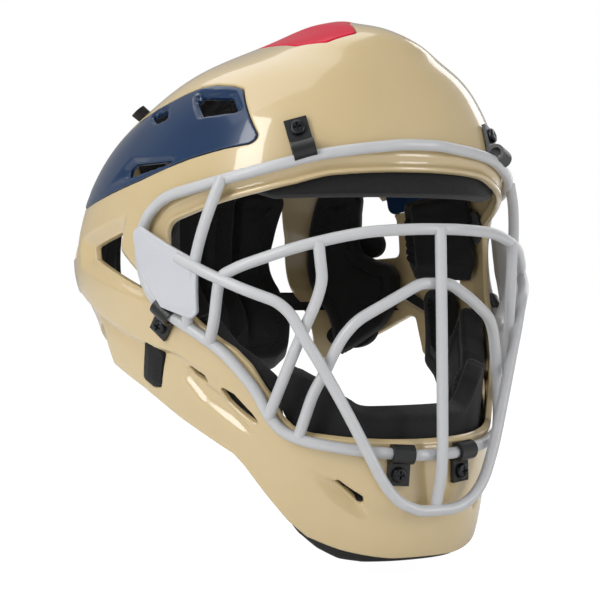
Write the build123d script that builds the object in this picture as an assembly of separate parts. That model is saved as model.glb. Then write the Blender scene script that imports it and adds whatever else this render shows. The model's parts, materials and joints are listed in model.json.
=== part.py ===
from build123d import *
import math
import os

# Baseball catcher helmet: a hard shell with a wire face cage, painted vent panels,
# foam padding and a back plate that slides on elastic straps.
# Millimetres. The origin is the middle of the head between the ears.
# The face looks along -Y, the crown is +Z, and the wearer's left side is +X.

os.makedirs("parts", exist_ok=True)

# Outer size of the shell, measured from the origin
half_width = 123.0
front_reach = 131.0
rear_reach = 128.0
crown_height = 144.5
chin_drop = 160.0
points_per_level = 24

# Moulded shell
shell_wall = 4.0
fit_gap = 0.3
overrun = 60.0
corner_round = 4.0
recess_depth = 3.2

# Face cage, welded from steel wire
wire_diameter = 6.35
plate_lift = 7.6
side_plate_thickness = 3.0

# Clips, screws and nuts that hold the cage
clip_width = 12.7
clip_thickness = 2.2
clip_tail = 6.0
clip_seat = 0.2
hook_thickness = 2.0
screw_diameter = 4.2
screw_head_diameter = 8.6
screw_head_height = 2.6
driver_slot_length = 4.6
driver_slot_width = 1.0
driver_slot_depth = 1.4
nut_barrel_diameter = 6.2
nut_flange_diameter = 12.0
nut_flange_thickness = 1.6
nut_sink = 0.5
bore_gap = 0.15

# Padding
fastener_diameter = 20.0
fastener_thickness = 2.4
forehead_pad_thickness = 13.0
crown_pad_thickness = 13.0
crown_pad_half_width = 60.0
crown_channel_width = 8.0
temple_pad_thickness = 29.0
temple_pad_lean = 26.0
rear_pad_thickness = 12.0
rear_pad_inner_edge = 71.0
jaw_pad_thickness = 18.0
chin_pad_thickness = 17.0
chin_pad_half_width = 92.0
skirt_thickness = 9.0
back_pad_thickness = 26.0

# Elastic straps and the back plate
strap_thickness = 2.0
strap_loop_lift = 6.0
back_plate_wall = 4.0
rivet_diameter = 4.0
rivet_head_diameter = 9.0
rivet_pin_length = 3.2
rivet_head_height = 1.4

# Levels of the outer form, from the chin to the crown, as shares of the sizes above:
# height, half width, middle, front, rear, then the roundness power of front and rear
form_shares = [
    (-1.113, 0.504, -0.092, -0.855, 0.562, 2.3, 1.95),
    (-1.0, 0.585, -0.046, -0.954, 0.625, 2.35, 1.95),
    (-0.812, 0.699, 0.031, -0.992, 0.695, 2.3, 1.95),
    (-0.625, 0.797, 0.109, -1.0, 0.742, 2.2, 1.9),
    (-0.412, 0.902, 0.164, -0.985, 0.789, 2.1, 1.85),
    (-0.188, 0.967, 0.195, -0.977, 0.859, 2.1, 1.9),
    (-0.087, 0.988, 0.199, -0.977, 0.969, 2.1, 2.25),
    (0.035, 1.0, 0.203, -0.977, 1.0, 2.1, 2.4),
    (0.277, 0.967, 0.133, -0.954, 0.969, 2.2, 2.3),
    (0.484, 0.894, 0.031, -0.901, 0.828, 2.3, 2.2),
    (0.657, 0.78, -0.084, -0.832, 0.516, 2.3, 2.1),
    (0.782, 0.626, -0.16, -0.771, 0.266, 2.3, 2.0),
    (0.844, 0.488, -0.214, -0.733, 0.156, 2.3, 2.0),
    (0.9, 0.341, -0.267, -0.702, 0.039, 2.4, 2.0),
    (0.955, 0.195, -0.275, -0.603, -0.053, 2.2, 2.0),
    (0.99, 0.098, -0.305, -0.427, -0.237, 2.0, 2.0),
    (1.0, 0.041, -0.313, -0.374, -0.267, 2.0, 2.0),
]

# Outlines seen from the side, as shares: along the head, then up
face_opening_shares = [
    (-1.298, 0.394), (-0.962, 0.394), (-0.851, 0.37), (-0.782, 0.338), (-0.676, 0.304),
    (-0.538, 0.267), (-0.427, 0.23), (-0.294, 0.187), (-0.298, 0.094), (-0.313, 0.0),
    (-0.351, -0.1), (-0.4, -0.158), (-0.464, -0.205), (-0.518, -0.239), (-0.569, -0.267),
    (-0.626, -0.326), (-0.661, -0.389), (-0.687, -0.431), (-0.718, -0.5), (-0.762, -0.547),
    (-0.809, -0.56), (-0.908, -0.575), (-1.008, -0.588), (-1.298, -0.588),
]

lower_edge_shares = [
    (1.328, -0.45), (0.812, -0.45), (0.734, -0.438), (0.586, -0.35), (0.469, -0.275),
    (0.375, -0.219), (0.328, -0.197), (0.281, -0.2), (0.242, -0.272), (0.195, -0.344),
    (-0.041, -0.429), (-0.229, -0.525), (-0.484, -0.636), (-0.527, -0.675), (-0.6, -0.769),
    (-0.676, -0.86), (-0.738, -0.912), (-0.837, -0.953), (-0.942, -0.986), (-1.298, -1.0),
]

ear_vent_shares = [
    (0.213, 0.087), (0.011, 0.143), (0.012, 0.069), (-0.147, -0.022), (-0.17, -0.07),
    (0.194, 0.052),
]

ear_recess_shares = [
    (0.32, 0.118), (-0.038, 0.203), (-0.008, 0.069), (-0.16, -0.028), (-0.206, -0.1),
    (0.305, 0.024),
]

rear_vent_shares = [
    (0.688, 0.318), (0.516, 0.346), (0.453, 0.235), (0.469, 0.055), (0.656, 0.042), (0.719, 0.125),
]

jaw_slot_shares = [
    (-0.099, -0.25), (-0.191, -0.281), (-0.206, -0.3), (-0.153, -0.416), (-0.099, -0.417),
    (-0.038, -0.386),
]

jaw_slit_rear_shares = [
    (-0.355, -0.334), (-0.416, -0.372), (-0.427, -0.397), (-0.378, -0.375),
]

jaw_slit_front_shares = [
    (-0.504, -0.406), (-0.542, -0.431), (-0.58, -0.475), (-0.603, -0.506), (-0.523, -0.45),
]

chin_vent_shares = [
    (-0.862, -0.718), (-0.871, -0.709), (-0.927, -0.769), (-0.928, -0.819),
]

side_panel_shares = [
    (0.5, 0.242), (0.25, 0.289), (-0.084, 0.356), (-0.377, 0.433), (-0.531, 0.466), (-0.663, 0.49),
    (-0.504, 0.699), (-0.447, 0.713), (-0.351, 0.722), (-0.26, 0.717), (-0.175, 0.697),
    (-0.018, 0.651), (0.16, 0.602), (0.328, 0.526), (0.469, 0.401),
]

front_scoop_shares = [
    (-0.237, 0.696), (-0.458, 0.685), (-0.542, 0.609), (-0.366, 0.595),
]

rear_scoop_shares = [
    (0.055, 0.63), (-0.084, 0.651), (-0.16, 0.592), (-0.053, 0.578),
]

low_scoop_shares = [
    (-0.29, 0.439), (-0.275, 0.415), (0.234, 0.322), (0.172, 0.356), (0.036, 0.45),
]

side_plate_shares = [
    (-0.198, 0.153), (-0.237, 0.162), (-0.473, 0.037), (-0.458, -0.128), (-0.435, -0.146),
    (-0.359, -0.105), (-0.294, 0.002),
]

forehead_pad_shares = [
    (-1.298, 0.304), (-1.298, 0.63), (-0.504, 0.63), (-0.412, 0.498), (-0.443, 0.346),
    (-0.641, 0.277),
]

crown_pad_shares = [
    (-0.611, 0.657), (0.344, 0.657), (0.234, 1.038), (-0.504, 1.038),
]

temple_pad_shares = [
    (-0.298, 0.346), (-0.153, 0.36), (-0.115, 0.208), (-0.153, 0.014), (-0.275, -0.05),
    (-0.351, 0.028), (-0.313, 0.111),
]

rear_pad_shares = [
    (1.172, 0.346), (0.5, 0.346), (0.555, 0.242), (0.602, 0.118), (0.594, 0.069), (0.516, 0.035),
    (0.438, 0.021), (0.391, -0.025), (0.367, -0.15), (0.383, -0.225), (0.492, -0.325), (0.625, -0.362),
    (0.781, -0.388), (1.172, -0.388),
]

jaw_pad_shares = [
    (0.109, -0.081), (0.031, -0.25), (-0.015, -0.375), (-0.13, -0.419), (-0.26, -0.494),
    (-0.458, -0.581), (-0.565, -0.6), (-0.611, -0.562), (-0.611, -0.375), (-0.542, -0.306),
    (-0.466, -0.256), (-0.397, -0.175), (-0.359, -0.138), (-0.321, -0.188), (-0.26, -0.263),
    (-0.206, -0.263), (-0.122, -0.175), (-0.053, -0.081),
]

chin_pad_shares = [
    (-1.298, -0.463), (-0.832, -0.463), (-0.794, -0.425), (-0.748, -0.375), (-0.695, -0.338), (-0.649, -0.319),
    (-0.63, -0.35), (-0.63, -0.45), (-0.664, -0.55), (-0.718, -0.637), (-0.794, -0.725), (-1.298, -0.725),
]

chin_skirt_shares = [
    (-0.504, -0.688), (-0.557, -0.744), (-0.641, -0.85), (-0.695, -0.934), (-0.752, -0.991),
    (-0.809, -1.029), (-0.87, -1.039), (-1.298, -1.039), (-1.298, -0.8), (-0.855, -0.8),
    (-0.733, -0.738), (-0.641, -0.675), (-0.55, -0.644),
]

lower_strap_shares = [
    (-0.198, -0.294), (-0.153, -0.412), (-0.061, -0.4), (0.047, -0.287), (0.344, -0.175),
    (1.172, -0.175), (1.172, -0.1), (0.328, -0.106), (0.031, -0.206), (-0.107, -0.263),
]

upper_slot_shares = [
    (0.203, 0.623), (0.281, 0.602), (0.297, 0.63), (0.219, 0.651),
]

# Outlines seen from the rear, as shares: across, then up
rear_opening_shares = [
    (0.537, -1.25), (0.537, -0.125), (0.52, 0.138), (0.472, 0.318), (0.374, 0.415), (0.244, 0.457),
]

back_plate_shares = [
    (0.276, 0.401), (0.325, 0.346), (0.325, 0.138), (0.252, -0.062), (0.276, -0.25),
    (0.244, -0.362), (0.179, -0.4),
]

back_pad_shares = [
    (0.358, 0.346), (0.382, 0.304), (0.358, 0.138), (0.333, 0.035), (0.341, -0.013),
    (0.366, -0.087), (0.35, -0.2), (0.325, -0.325), (0.26, -0.375),
]

upper_strap_shares = [
    (0.699, 0.678), (0.537, 0.678), (0.211, 0.374), (0.211, 0.291), (0.293, 0.291), (0.715, 0.623),
]

# Outlines seen from above, as shares: across, then along
crest_level_share = 0.72
crest_panel_shares = [
    (0.0, -0.382), (0.13, -0.641), (0.276, -0.611), (0.366, -0.504), (0.374, -0.229), (0.325, 0.0),
    (0.228, 0.195), (0.0, 0.312), (-0.228, 0.195), (-0.325, 0.0), (-0.374, -0.229),
    (-0.366, -0.504), (-0.276, -0.611), (-0.13, -0.641),
]
crest_slot_shares = [(0.06, -0.18), (0.12, -0.08), (0.13, 0.1), (0.08, 0.17), (0.055, 0.02)]

# Centre lines of the cage wires, one half, as shares: across, along, up
frame_shares = [
    (0.0, -0.937, 0.48), (0.098, -0.937, 0.48), (0.341, -0.899, 0.457), (0.496, -0.842, 0.435),
    (0.705, -0.698, 0.379), (0.848, -0.511, 0.329), (0.938, -0.309, 0.286), (0.98, -0.206, 0.208),
    (0.992, -0.168, 0.069), (0.974, -0.214, -0.062), (0.939, -0.305, -0.141),
    (0.87, -0.441, -0.205), (0.787, -0.566, -0.279), (0.691, -0.666, -0.406),
    (0.649, -0.699, -0.491), (0.607, -0.74, -0.544), (0.537, -0.817, -0.575),
    (0.374, -0.942, -0.603), (0.179, -1.015, -0.619), (0.098, -1.034, -0.625),
    (0.0, -1.034, -0.625),
]

side_bar_shares = [
    (0.813, -0.58, 0.353), (0.846, -0.566, 0.277), (0.87, -0.544, 0.201), (0.891, -0.518, 0.111),
    (0.905, -0.495, 0.014), (0.909, -0.468, -0.075), (0.899, -0.431, -0.15),
    (0.886, -0.408, -0.197),
]

eye_bar_shares = [
    (0.0, -1.055, 0.159), (0.098, -1.055, 0.159), (0.244, -1.029, 0.154), (0.346, -1.002, 0.147),
    (0.455, -0.954, 0.129), (0.618, -0.86, 0.091), (0.789, -0.687, 0.021), (0.846, -0.615, -0.016),
    (0.85, -0.599, -0.075), (0.849, -0.576, -0.163), (0.834, -0.515, -0.237),
]

chin_loop_shares = [
    (0.955, -0.435, 0.054), (0.886, -0.574, -0.007), (0.783, -0.718, -0.062),
    (0.685, -0.818, -0.1), (0.638, -0.855, -0.141), (0.598, -0.88, -0.211),
    (0.537, -0.916, -0.299), (0.435, -0.974, -0.463), (0.346, -1.018, -0.613),
    (0.276, -1.038, -0.719), (0.203, -1.048, -0.781), (0.098, -1.056, -0.814),
    (0.0, -1.056, -0.814),
]

cheek_bar_shares = [
    (0.537, -0.915, 0.111), (0.532, -0.921, 0.042), (0.524, -0.926, -0.025),
    (0.537, -0.905, -0.094), (0.565, -0.866, -0.175), (0.589, -0.832, -0.244),
    (0.628, -0.776, -0.369), (0.655, -0.706, -0.494),
]

arch_bar_shares = [
    (0.0, -1.034, -0.041), (0.081, -1.034, -0.041), (0.22, -1.012, -0.097),
    (0.366, -0.962, -0.163), (0.42, -0.928, -0.219), (0.452, -0.901, -0.281),
    (0.478, -0.875, -0.344), (0.516, -0.844, -0.412), (0.561, -0.798, -0.562),
]

center_bar_shares = [
    (0.0, -1.07, 0.166), (0.0, -1.078, -0.094), (0.0, -1.084, -0.369), (0.0, -1.087, -0.613),
    (0.0, -1.079, -0.688), (0.0, -1.043, -0.794),
]

# Where the clips are screwed down and the wire that each one holds, as shares
forehead_clip_shares = ((0.545, -0.77, 0.532), (0.545, -0.817, 0.456))
side_clip_shares = ((0.942, -0.252, -0.19), (0.939, -0.305, -0.141))
chin_clip_shares = ((0.17, -0.998, -0.69), (0.17, -1.02, -0.619))

# Middle of each round hook-and-loop fastener, as shares
forehead_fastener_shares = [(0.3, 0.46)]
chin_fastener_shares = [(0.38, -0.67)]
crown_fastener_shares = [(0.18, -0.4), (0.2, 0.04)]
back_fastener_shares = [(0.0, 0.2), (0.0, -0.17)]
side_fastener_shares = [(-0.22, 0.18), (0.6, 0.12), (0.52, -0.26), (-0.3, -0.44), (-0.49, -0.53)]

# Rivets that hold the straps to the back plate, as shares: across, up
rivet_shares = [(0.25, 0.36), (0.19, -0.14)]


def across(share):
    return share * half_width


def along(share):
    return share * (front_reach if share < 0 else rear_reach)


def up(share):
    return share * (crown_height if share > 0 else chin_drop)


def place(share):
    return Vector(across(share[0]), along(share[1]), up(share[2]))


# The outer form

def form_wires(depth):
    """The levels of the outer form, drawn in by a depth. A negative depth grows them."""
    wires = []
    stations = [step / points_per_level for step in range(points_per_level + 1)]
    for number, (level, wide, middle, front, rear, front_power, rear_power) in enumerate(form_shares):
        height = up(level) if number == 0 else up(level) * (1 - depth / crown_height)
        points = []
        for step in range(points_per_level):
            turn = 2 * math.pi * step / points_per_level
            side, fore = math.cos(turn), math.sin(turn)
            power = front_power if fore < 0 else rear_power
            reach = along(middle) - along(front) if fore < 0 else along(rear) - along(middle)
            size = (abs(side) ** power + abs(fore) ** power) ** (-1 / power)
            points.append(Vector(
                across(wide) * size * side * (1 - depth / half_width),
                (along(middle) + reach * size * fore) * (1 - depth / front_reach),
                height,
            ))
        wires.append(Wire([Edge.make_spline(points, periodic=True, parameters=stations)]))
    return wires


nests = {}


def nest(depth):
    """The solid form at a depth below the outer skin."""
    if depth not in nests:
        nests[depth] = Solid.make_loft(form_wires(depth))
    return nests[depth]


slabs = {}


def slab(outer, inner):
    """The wall between two depths of the form: a cup that is open at the chin."""
    if (outer, inner) not in slabs:
        skins = [nest(outer), nest(inner)]
        floors = [skin.faces().sort_by(Axis.Z)[0] for skin in skins]
        ring = Face(floors[0].outer_wire(), [floors[1].outer_wire()])
        walls = [face for skin in skins for face in skin.faces().sort_by(Axis.Z)[1:]]
        slabs[outer, inner] = Solid(Shell(walls + [ring]))
    return slabs[outer, inner]


def layer(block, outer, inner):
    """The part of a block between two depths of the form."""
    return slab(outer, inner) & block


def rounded(points, limit=corner_round):
    """A closed outline whose corners are arcs as large as the runs beside them allow."""
    radii = []
    for k, point in enumerate(points):
        before, after = point - points[k - 1], points[(k + 1) % len(points)] - point
        half_turn = math.radians(before.get_angle(after)) / 2
        run = min(before.length, after.length)
        radii.append(min(limit, 0.45 * run / math.tan(half_turn)))
    return make_face(FilletPolyline(*points, radius=radii, close=True))


def side_face(shares, limit=corner_round):
    return Plane.YZ * rounded([Vector(along(y), up(z)) for y, z in shares], limit)


def side_block(shares, side=0, grow=0, limit=corner_round):
    """A block along X with an outline seen from the side. Side 0 runs both ways."""
    face = side_face(shares, limit)
    if grow:
        face = offset(face, amount=grow)
    run = half_width + overrun
    if side == 0:
        return extrude(face, amount=run, both=True)
    return extrude(face, amount=side * run)


def rear_block(shares, grow=0, limit=corner_round):
    """A block along +Y with an outline seen from the rear, the same on both sides."""
    half = [(across(x), up(z)) for x, z in shares]
    points = [Vector(x, z) for x, z in half] + [Vector(-x, z) for x, z in reversed(half)]
    face = rounded(points, limit)
    if grow:
        face = offset(face, amount=grow)
    return extrude(Plane.XZ * face, amount=-(rear_reach + overrun))


def largest(shape):
    return max(shape.solids(), key=lambda solid: solid.volume)


def both_sides(shape):
    return [shape, mirror(shape, about=Plane.YZ)]


def save(name, *shapes):
    solids = [solid for shape in shapes for solid in shape.solids()]
    part = solids[0] if len(solids) == 1 else Compound(children=solids)
    export_step(part, f"parts/{name}.step")
    print(name, len(solids), "solids", round(sum(solid.volume for solid in solids)), "mm3")


def seat(axis):
    """Where an axis leaves the form, as a plane that looks outward."""
    point, outward = nest(0).find_intersection_points(axis)[-1]
    return Plane(origin=point, z_dir=outward)


def clip_frame(shares):
    """A plane on the right half of the shell, with y towards the wire that is held."""
    screw, wire = (place(share) for share in shares)
    screw, wire = (Vector(-point.X, point.Y, point.Z) for point in (screw, wire))
    middle = Vector(0, 0, screw.Z)
    ground = seat(Axis(middle, screw - middle))
    toward = wire - ground.origin
    toward = toward - ground.z_dir * toward.dot(ground.z_dir)
    return Plane(origin=ground.origin, x_dir=toward.cross(ground.z_dir), z_dir=ground.z_dir), wire


clip_frames = {
    "forehead_clips": clip_frame(forehead_clip_shares),
    "side_clips": clip_frame(side_clip_shares),
    "chin_clips": clip_frame(chin_clip_shares),
}


# Shell

cutters = [side_block(face_opening_shares, limit=3 * corner_round)]

lower_edge = [Vector(along(y), up(z)) for y, z in lower_edge_shares]
lower_corners = [
    Vector(lower_edge[-1].X, -(chin_drop + 2 * overrun)),
    Vector(lower_edge[0].X, -(chin_drop + 2 * overrun)),
]
lower_face = Plane.YZ * rounded(lower_edge + lower_corners)
cutters.append(extrude(lower_face, amount=half_width + overrun, both=True))
cutters.append(rear_block(rear_opening_shares, limit=3 * corner_round))

ear_rim = [Vector(-half_width, along(y), up(z)) for y, z in ear_recess_shares]
ear_floor = [Vector(recess_depth - half_width, along(y), up(z)) for y, z in ear_vent_shares]
ear_cone = Solid.make_loft(
    [Wire(Polyline(*points, close=True).edges()) for points in (ear_rim, ear_floor)],
    ruled=True,
)
ear_mouth = extrude(make_face(Polyline(*ear_rim, close=True)), amount=overrun, dir=(-1, 0, 0))
ear_hole = extrude(make_face(Polyline(*ear_floor, close=True)), amount=overrun, dir=(1, 0, 0))
for piece in (ear_cone, ear_mouth, ear_hole):
    cutters += both_sides(piece)

for outline in (rear_vent_shares, jaw_slot_shares, upper_slot_shares):
    cutters.append(side_block(outline, limit=corner_round / 2))
for outline in (jaw_slit_rear_shares, jaw_slit_front_shares, chin_vent_shares):
    cutters.append(side_block(outline, limit=corner_round / 4))
cutters.append(side_block(side_panel_shares))

crest_level = up(crest_level_share)
crest_outline = [Vector(across(x), along(y)) for x, y in crest_panel_shares]
cutters.append(extrude(Pos(0, 0, crest_level) * rounded(crest_outline), amount=overrun))

for plane, wire in clip_frames.values():
    cutters += both_sides(plane * Cylinder(
        radius=nut_barrel_diameter / 2 + bore_gap,
        height=4 * shell_wall,
    ))
shell = largest(slab(0, shell_wall).cut(*cutters))
save("shell", shell)


# Vent panels

side_panel = layer(side_block(side_panel_shares, -1, grow=-fit_gap), 0, shell_wall)
for outline in (front_scoop_shares, rear_scoop_shares, low_scoop_shares):
    side_panel -= side_block(outline, -1, limit=corner_round / 2)
side_panel = largest(side_panel)
save("side_vent_panel_right", side_panel)
save("side_vent_panel_left", mirror(side_panel, about=Plane.YZ))

crest_face = Pos(0, 0, crest_level) * offset(rounded(crest_outline), amount=-fit_gap)
crest_panel = layer(extrude(crest_face, amount=overrun), 0, shell_wall)
crest_slot = [Vector(across(x), along(y)) for x, y in crest_slot_shares]
for slot in both_sides(extrude(Pos(0, 0, crest_level) * rounded(crest_slot), amount=overrun)):
    crest_panel -= slot
save("crown_vent_panel", largest(crest_panel))


# Cage

def wire_path(points):
    """Straight runs joined by arcs as large as the runs allow."""
    radii = []
    for before, point, after in zip(points, points[1:], points[2:]):
        half_turn = math.radians((point - before).get_angle(after - point)) / 2
        run = min((point - before).length, (after - point).length)
        radii.append(0.45 * run / math.tan(half_turn))
    return FilletPolyline(*points, radius=radii)


def bent_wire(shares, radius=wire_diameter / 2):
    """One half of a wire, on the wearer's right."""
    path = wire_path([Vector(-across(x), along(y), up(z)) for x, y, z in shares])
    return sweep(Plane(origin=path @ 0, z_dir=path % 0) * Circle(radius), path=path)


def whole(half):
    return half + mirror(half, about=Plane.YZ)


frame_half = bent_wire(frame_shares)
frame_room = bent_wire(frame_shares, wire_diameter / 2 + clip_seat)
side_plate_half = layer(side_block(side_plate_shares, -1), -(plate_lift + side_plate_thickness), -plate_lift)
side_plate_half = largest(side_plate_half - frame_room)
side_bar_half = largest(bent_wire(side_bar_shares) - frame_half - side_plate_half)
eye_bar_half = largest(bent_wire(eye_bar_shares) - frame_half - side_bar_half)
chin_loop_half = largest(
    bent_wire(chin_loop_shares) - side_plate_half - side_bar_half - eye_bar_half - frame_half
)
cheek_bar_half = largest(
    bent_wire(cheek_bar_shares) - eye_bar_half - frame_half - chin_loop_half
)
arch_bar_half = largest(
    bent_wire(arch_bar_shares) - frame_half - chin_loop_half - cheek_bar_half
)
save("cage_frame", whole(frame_half))
save("cage_eye_bar", whole(eye_bar_half))
save("cage_chin_loop", whole(chin_loop_half))
save("cage_arch_bar", whole(arch_bar_half))
save("cage_side_bars", *both_sides(side_bar_half))
save("cage_cheek_bars", *both_sides(cheek_bar_half))
center_path = wire_path([place(share) for share in center_bar_shares])
center_bar = sweep(
    Plane(origin=center_path @ 0, z_dir=center_path % 0) * Circle(wire_diameter / 2),
    path=center_path,
)
for crossed in (frame_half, eye_bar_half, chin_loop_half, arch_bar_half):
    center_bar -= whole(crossed)
save("cage_center_bar", largest(center_bar))
save("side_plate_right", side_plate_half)
save("side_plate_left", mirror(side_plate_half, about=Plane.YZ))


# Clips, screws and nuts

def cage_clip(plane, wire):
    """A bent strap: flat under the screw, with a hook round the wire."""
    local = plane.to_local_coords(wire)
    hook_radius = wire_diameter / 2 + clip_seat
    outer_radius = hook_radius + hook_thickness
    strap = Pos((local.Y - clip_tail) / 2, fit_gap + clip_thickness / 2) * Rectangle(
        local.Y + clip_tail, clip_thickness
    )
    hook = Pos(local.Y, local.Z) * Circle(outer_radius)
    web = Pos(local.Y - hook_radius, local.Z / 2) * Rectangle(
        2 * hook_thickness, abs(local.Z) + 2 * fit_gap
    )
    mouth = Pos(local.Y + outer_radius / 2, local.Z - outer_radius) * Rectangle(
        outer_radius, outer_radius
    )
    profile = strap + hook + web - Pos(local.Y, local.Z) * Circle(hook_radius) - mouth
    profile_plane = Plane(origin=(0, 0, 0), x_dir=(0, 1, 0), z_dir=(1, 0, 0))
    clip = extrude(profile_plane * profile, amount=clip_width / 2, both=True)
    clip -= Cylinder(radius=screw_diameter / 2 + bore_gap, height=6 * clip_thickness)
    return plane * clip


screw_seat = fit_gap + clip_thickness
all_screws, all_nuts = [], []
for name, (plane, wire) in clip_frames.items():
    clip = cage_clip(plane, wire) - nest(-bore_gap) - frame_room
    clips = both_sides(largest(clip))
    save(name, *clips)

    head = Pos(0, 0, screw_seat) * Cylinder(
        radius=screw_head_diameter / 2,
        height=screw_head_height,
        align=(Align.CENTER, Align.CENTER, Align.MIN),
    )
    head = fillet(head.edges().group_by(Axis.Z)[-1], radius=screw_head_height * 0.6)
    head_top = screw_seat + screw_head_height
    for slot_turn in (0, 90):
        slot = Rot(0, 0, slot_turn) * Box(driver_slot_length, driver_slot_width, 2 * driver_slot_depth)
        head -= Pos(0, 0, head_top) * slot
    nut_end = shell_wall + fit_gap + nut_sink + nut_flange_thickness
    shank = Pos(0, 0, -nut_end) * Cylinder(
        radius=screw_diameter / 2,
        height=nut_end + screw_seat,
        align=(Align.CENTER, Align.CENTER, Align.MIN),
    )
    all_screws += both_sides(plane * (head + shank))

    flange = Pos(0, 0, -nut_end) * Cylinder(
        radius=nut_flange_diameter / 2,
        height=nut_flange_thickness,
        align=(Align.CENTER, Align.CENTER, Align.MIN),
    )
    barrel = Pos(0, 0, -nut_end) * Cylinder(
        radius=nut_barrel_diameter / 2,
        height=nut_end - bore_gap,
        align=(Align.CENTER, Align.CENTER, Align.MIN),
    )
    bore = Cylinder(radius=screw_diameter / 2 + bore_gap, height=8 * shell_wall)
    all_nuts += both_sides(plane * (flange + barrel - bore))
save("cage_screws", *all_screws)
save("cage_nuts", *all_nuts)


# Padding

strap_start = shell_wall + fit_gap
strap_end = strap_start + strap_thickness
fastener_start = shell_wall + fit_gap
pad_start = fastener_start + fastener_thickness + fit_gap


def pad(block, thickness):
    return largest(layer(block, pad_start, pad_start + thickness))


def save_pair(name, right):
    save(f"{name}_right", right)
    save(f"{name}_left", mirror(right, about=Plane.YZ))


save("forehead_pad", pad(side_block(forehead_pad_shares), forehead_pad_thickness))

crown_block = side_block(crown_pad_shares) & Box(
    2 * crown_pad_half_width, 4 * rear_reach, 4 * crown_height
)
for place_share in (-0.4, 0.4):
    crown_block -= Pos(place_share * crown_pad_half_width, 0, 0) * Box(
        crown_channel_width, along(0.5), 4 * crown_height
    )
save("crown_pad", pad(crown_block, crown_pad_thickness))

# The temple pads slide rearward from the shell towards the head
slope = temple_pad_lean / temple_pad_thickness
temple_ends = []
for x, slide in ((-half_width - overrun, -slope * overrun), (0, slope * half_width)):
    points = [Vector(x, along(y) + slide, up(z)) for y, z in temple_pad_shares]
    temple_ends.append(Wire(Polyline(*points, close=True).edges()))
save_pair("temple_pad", pad(Solid.make_loft(temple_ends, ruled=True), temple_pad_thickness))

rear_limit = Pos(-rear_pad_inner_edge - half_width, 0, 0) * Box(
    2 * half_width, 4 * rear_reach, 4 * crown_height
)
rear_pad_block = side_block(rear_pad_shares, -1, limit=2 * corner_round) & rear_limit
save_pair("rear_pad", pad(rear_pad_block, rear_pad_thickness))
jaw_block = side_block(jaw_pad_shares, -1, limit=2 * corner_round)
save_pair("jaw_pad", pad(jaw_block, jaw_pad_thickness))

chin_limit = Pos(0, -front_reach, 0) * Box(2 * chin_pad_half_width, 2 * front_reach, 4 * chin_drop)
save("chin_pad", pad(side_block(chin_pad_shares) & chin_limit, chin_pad_thickness))
chin_skirt = layer(side_block(chin_skirt_shares), fastener_start, fastener_start + skirt_thickness)
save("chin_skirt", largest(chin_skirt))


# Back plate with its pad

back_plate = layer(rear_block(back_plate_shares, limit=2 * corner_round), 0, back_plate_wall)
rivets = []
for x, z in rivet_shares:
    plane = seat(Axis((-across(x), 0, up(z)), (0, 1, 0)))
    for bore in both_sides(plane * Cylinder(
        radius=rivet_diameter / 2 + bore_gap,
        height=4 * back_plate_wall,
    )):
        back_plate -= bore
    head = Pos(0, 0, bore_gap) * Cylinder(
        radius=rivet_head_diameter / 2,
        height=rivet_head_height,
        align=(Align.CENTER, Align.CENTER, Align.MIN),
    )
    head = fillet(head.edges().group_by(Axis.Z)[-1], radius=rivet_head_height * 0.6)
    pin = Pos(0, 0, bore_gap) * Cylinder(
        radius=rivet_diameter / 2,
        height=rivet_pin_length,
        align=(Align.CENTER, Align.CENTER, Align.MAX),
    )
    rivets += both_sides(plane * (head + pin))
save("back_plate", largest(back_plate))
save("strap_rivets", *rivets)
save("back_plate_pad", pad(rear_block(back_pad_shares, limit=2 * corner_round), back_pad_thickness))


# Straps, drawn at rest

band = [Vector(-across(x), up(z)) for x, z in upper_strap_shares]
band_block = extrude(Plane.XZ * rounded(band), amount=-(rear_reach + overrun))
save_pair("upper_strap", largest(layer(band_block, strap_start, strap_end)))
save_pair("upper_strap_loop", largest(
    layer(side_block(upper_slot_shares, -1, grow=-fit_gap), -strap_loop_lift, shell_wall)
))
strap_limit = Pos(-across(0.2) - half_width, 0, 0) * Box(
    2 * half_width, 6 * rear_reach, 6 * crown_height
)
lower_block = side_block(lower_strap_shares, -1) & strap_limit
save_pair("lower_strap", largest(layer(lower_block, strap_start, strap_end)))
save_pair("lower_strap_loop", largest(
    layer(side_block(jaw_slot_shares, -1, grow=-fit_gap, limit=corner_round / 2), 1, shell_wall)
))


# Hook-and-loop fasteners between the shell and the pads

def fastener(plane):
    disc = plane * Cylinder(
        radius=fastener_diameter / 2,
        height=2 * rear_reach,
        align=(Align.CENTER, Align.CENTER, Align.MIN),
    )
    return largest(layer(disc, fastener_start, fastener_start + fastener_thickness))


fasteners = []
for x, z in forehead_fastener_shares + chin_fastener_shares:
    fasteners += both_sides(fastener(Plane(origin=(across(x), 0, up(z)), z_dir=(0, -1, 0))))
for x, y in crown_fastener_shares:
    fasteners += both_sides(fastener(Plane(origin=(across(x), along(y), 0), z_dir=(0, 0, 1))))
for y, z in side_fastener_shares:
    fasteners += both_sides(fastener(Plane(origin=(0, along(y), up(z)), z_dir=(-1, 0, 0))))
save("pad_fasteners", *fasteners)
save("back_pad_fasteners", *[
    fastener(Plane(origin=(across(x), 0, up(z)), z_dir=(0, 1, 0))) for x, z in back_fastener_shares
])
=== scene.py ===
# %% [markdown]
# Baseball catcher helmet: a painted hard shell, a wire cage, foam pads and elastic straps.
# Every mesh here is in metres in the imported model's own frame: the origin is the middle of the
# head, the face looks along -Y, the crown is +Z and the wearer's left side is +X. The tables are
# in millimetres and are turned to metres as each mesh is made.

# %% Load the frame
import json
import math

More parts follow.
